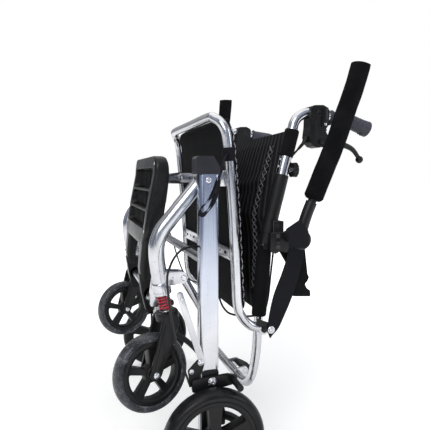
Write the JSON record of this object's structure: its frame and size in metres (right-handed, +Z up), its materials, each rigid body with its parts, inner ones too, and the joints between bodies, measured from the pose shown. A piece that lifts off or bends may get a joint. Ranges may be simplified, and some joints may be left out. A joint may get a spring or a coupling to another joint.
{
  "type": "transport chair",
  "caption": "Folded transport chair: alloy frame with seat, swing-up armrests, push handles, footplate, sprung front castors and rear wheels.",
  "frame": {"origin": "on the floor under the centre of the whole chair's box", "axes": "+X to the chair's left, -Y to its front, +Z up"},
  "size_m": [0.667, 0.5784, 0.8377],
  "materials": {
    "satin_alloy": "satin",
    "bright_steel": "bright zinc",
    "black_plastic": "satin",
    "black_tube": "satin",
    "rubber": "matte",
    "smoky_tyre": "semi-gloss",
    "foam": "matte foam",
    "cloth": "woven",
    "grip": "matte",
    "red_spring": "satin"
  },
  "bodies": {
    "frame": {"rear_leg_l": "satin_alloy", "rear_leg_r": "satin_alloy", "leg_cap_l": "black_plastic", "leg_cap_r": "black_plastic", "rear_cross_tube": "satin_alloy", "wheel_bracket_l": "black_plastic", "wheel_bracket_r": "black_plastic", "tipping_lever_l": "black_tube", "tipping_lever_r": "black_tube", "brake_cable_l": "rubber", "brake_cable_r": "rubber"},
    "rear_wheel_left": {"rear_wheel_l": "black_plastic", "rear_tyre_l": "rubber"},
    "rear_wheel_right": {"rear_wheel_r": "black_plastic", "rear_tyre_r": "rubber"},
    "front": {"front_frame": "satin_alloy", "spring_l": "red_spring", "spring_r": "red_spring"},
    "stem_left": {"stem_l": "bright_steel"},
    "stem_right": {"stem_r": "bright_steel"},
    "fork_left": {"fork_l": "black_plastic"},
    "fork_right": {"fork_r": "black_plastic"},
    "castor_left": {"castor_wheel_l": "black_plastic", "castor_tyre_l": "smoky_tyre"},
    "castor_right": {"castor_wheel_r": "black_plastic", "castor_tyre_r": "smoky_tyre"},
    "footrest": {"footplate": "black_plastic"},
    "front_strut_left": {"front_strut_l": "satin_alloy"},
    "front_strut_right": {"front_strut_r": "satin_alloy"},
    "rear_strut_left": {"rear_strut_l": "satin_alloy"},
    "rear_strut_right": {"rear_strut_r": "satin_alloy"},
    "seat": {"seat_frame": "satin_alloy", "seat_panel": "cloth", "seat_pad": "cloth", "pull_strap": "cloth"},
    "back": {"back_frame": "satin_alloy", "backrest": "cloth", "arm_hub_l": "black_plastic", "arm_hub_r": "black_plastic", "strap_l": "cloth", "strap_r": "cloth"},
    "armrest_left": {"armrest_l": "black_plastic", "arm_foam_l": "foam"},
    "armrest_right": {"armrest_r": "black_plastic", "arm_foam_r": "foam"},
    "handle_left": {"handle_l": "satin_alloy", "grip_l": "grip", "brake_housing_l": "black_plastic"},
    "handle_right": {"handle_r": "satin_alloy", "grip_r": "grip", "brake_housing_r": "black_plastic"},
    "knob_left": {"star_knob_l": "black_plastic"},
    "knob_right": {"star_knob_r": "black_plastic"},
    "lever_left": {"brake_lever_l": "black_plastic"},
    "lever_right": {"brake_lever_r": "black_plastic"},
    "brake_left": {"brake_arm_l": "black_plastic"},
    "brake_right": {"brake_arm_r": "black_plastic"},
    "fold_pedal": {"fold_lever": "black_plastic"}
  },
  "joints": [
    {"name": "unfold", "type": "hinge", "parent": "frame", "child": "front", "pos_m": [0, -0.1068, 0.589], "axis": [-1, 0, 0], "range_deg": [0, 58.9]},
    {"name": "seat_fold", "type": "hinge", "parent": "frame", "child": "seat", "pos_m": [0, -0.1068, 0.589], "axis": [1, 0, 0], "range_deg": [0, 37.8], "deforming": ["pull_strap"]},
    {"name": "back_fold", "type": "hinge", "parent": "seat", "child": "back", "pos_m": [0, 0.0337, 0.27], "axis": [-1, 0, 0], "range_deg": [0, 85.7], "deforming": ["strap_l", "strap_r", "brake_cable_l", "brake_cable_r"]},
    {"name": "footplate_fold", "type": "hinge", "parent": "front", "child": "footrest", "pos_m": [0, -0.1928, 0.343], "axis": [1, 0, 0], "range_deg": [0, 92]},
    {"name": "fold_pedal_press", "type": "hinge", "parent": "back", "child": "fold_pedal", "pos_m": [0.082, 0.0332, 0.1365], "axis": [-1, 0, 0], "range_deg": [0, 20], "stiffness_Nm_per_rad": 0.4, "springref_deg": -17.19},
    {"name": "rear_wheel_spin_left", "type": "hinge", "parent": "frame", "child": "rear_wheel_left", "pos_m": [0.308, -0.1068, 0.1], "axis": [1, 0, 0], "continuous": true},
    {"name": "front_strut_fold_left", "type": "hinge", "parent": "front", "child": "front_strut_left", "pos_m": [0.2253, -0.1465, 0.399], "axis": [1, 0, 0], "range_deg": [0, 86.7]},
    {"name": "rear_strut_fold_left", "type": "hinge", "parent": "frame", "child": "rear_strut_left", "pos_m": [0.2396, -0.1068, 0.409], "axis": [-1, 0, 0], "range_deg": [0, 130.4]},
    {"name": "suspension_left", "type": "slide", "parent": "front", "child": "stem_left", "axis": [0, -0.1822, 0.9833], "range_m": [0, 0.006], "stiffness_N_per_m": 15000, "deforming": ["spring_l"]},
    {"name": "castor_swivel_left", "type": "hinge", "parent": "stem_left", "child": "fork_left", "pos_m": [0.2253, -0.17989, 0.33564], "axis": [0, -0.1822, 0.9833], "range_deg": [-106, 12]},
    {"name": "castor_spin_left", "type": "hinge", "parent": "fork_left", "child": "castor_left", "pos_m": [0.24197, -0.2139, 0.22], "axis": [0.9563, 0.2875, 0.0533], "continuous": true},
    {"name": "armrest_swing_left", "type": "hinge", "parent": "back", "child": "armrest_left", "pos_m": [0.2966, 0.075, 0.4726], "axis": [1, 0, 0], "range_deg": [0, 110]},
    {"name": "handle_height_left", "type": "slide", "parent": "back", "child": "handle_left", "axis": [0, 0.2449, 0.9695], "range_m": [0, 0.1]},
    {"name": "knob_turn_left", "type": "hinge", "parent": "back", "child": "knob_left", "pos_m": [0.218, 0.08624, 0.61], "axis": [0, 1, 0], "range_deg": [0, 360]},
    {"name": "brake_lever_left", "type": "hinge", "parent": "handle_left", "child": "lever_left", "pos_m": [0.218, 0.1552, 0.67], "axis": [1, 0, 0], "range_deg": [0, 8], "stiffness_Nm_per_rad": 1.5},
    {"name": "brake_arm_left", "type": "hinge", "parent": "frame", "child": "brake_left", "pos_m": [0.2815, -0.1033, 0.204], "axis": [-1, 0, 0], "range_deg": [0, 2.8]},
    {"name": "rear_wheel_spin_right", "type": "hinge", "parent": "frame", "child": "rear_wheel_right", "pos_m": [-0.308, -0.1068, 0.1], "axis": [1, 0, 0], "continuous": true},
    {"name": "front_strut_fold_right", "type": "hinge", "parent": "front", "child": "front_strut_right", "pos_m": [-0.2253, -0.1465, 0.399], "axis": [1, 0, 0], "range_deg": [0, 86.7]},
    {"name": "rear_strut_fold_right", "type": "hinge", "parent": "frame", "child": "rear_strut_right", "pos_m": [-0.2396, -0.1068, 0.409], "axis": [-1, 0, 0], "range_deg": [0, 130.4]},
    {"name": "suspension_right", "type": "slide", "parent": "front", "child": "stem_right", "axis": [0, -0.1822, 0.9833], "range_m": [0, 0.006], "stiffness_N_per_m": 15000, "deforming": ["spring_r"]},
    {"name": "castor_swivel_right", "type": "hinge", "parent": "stem_right", "child": "fork_right", "pos_m": [-0.2253, -0.17989, 0.33564], "axis": [0, -0.1822, 0.9833], "range_deg": [-46, 73]},
    {"name": "castor_spin_right", "type": "hinge", "parent": "fork_right", "child": "castor_right", "pos_m": [-0.20863, -0.2139, 0.22], "axis": [0.9563, 0.2875, 0.0533], "continuous": true},
    {"name": "armrest_swing_right", "type": "hinge", "parent": "back", "child": "armrest_right", "pos_m": [-0.2966, 0.075, 0.4726], "axis": [1, 0, 0], "range_deg": [0, 92]},
    {"name": "handle_height_right", "type": "slide", "parent": "back", "child": "handle_right", "axis": [0, 0.2449, 0.9695], "range_m": [0, 0.1]},
    {"name": "knob_turn_right", "type": "hinge", "parent": "back", "child": "knob_right", "pos_m": [-0.218, 0.08624, 0.61], "axis": [0, 1, 0], "range_deg": [0, 360]},
    {"name": "brake_lever_right", "type": "hinge", "parent": "handle_right", "child": "lever_right", "pos_m": [-0.218, 0.1552, 0.67], "axis": [1, 0, 0], "range_deg": [0, 8], "stiffness_Nm_per_rad": 1.5},
    {"name": "brake_arm_right", "type": "hinge", "parent": "frame", "child": "brake_right", "pos_m": [-0.2815, -0.1033, 0.204], "axis": [-1, 0, 0], "range_deg": [0, 2.8]}
  ],
  "couplings": [
    {"joint": "seat_fold", "follows": "unfold", "ratio": 0.64177},
    {"joint": "back_fold", "follows": "unfold", "ratio": 1.455},
    {"joint": "front_strut_fold_left", "follows": "unfold", "ratio": 1.472},
    {"joint": "rear_strut_fold_left", "follows": "unfold", "ratio": 2.2139},
    {"joint": "brake_arm_left", "follows": "brake_lever_left", "ratio": 0.35},
    {"joint": "front_strut_fold_right", "follows": "unfold", "ratio": 1.472},
    {"joint": "rear_strut_fold_right", "follows": "unfold", "ratio": 2.2139},
    {"joint": "brake_arm_right", "follows": "brake_lever_right", "ratio": 0.35}
  ]
}
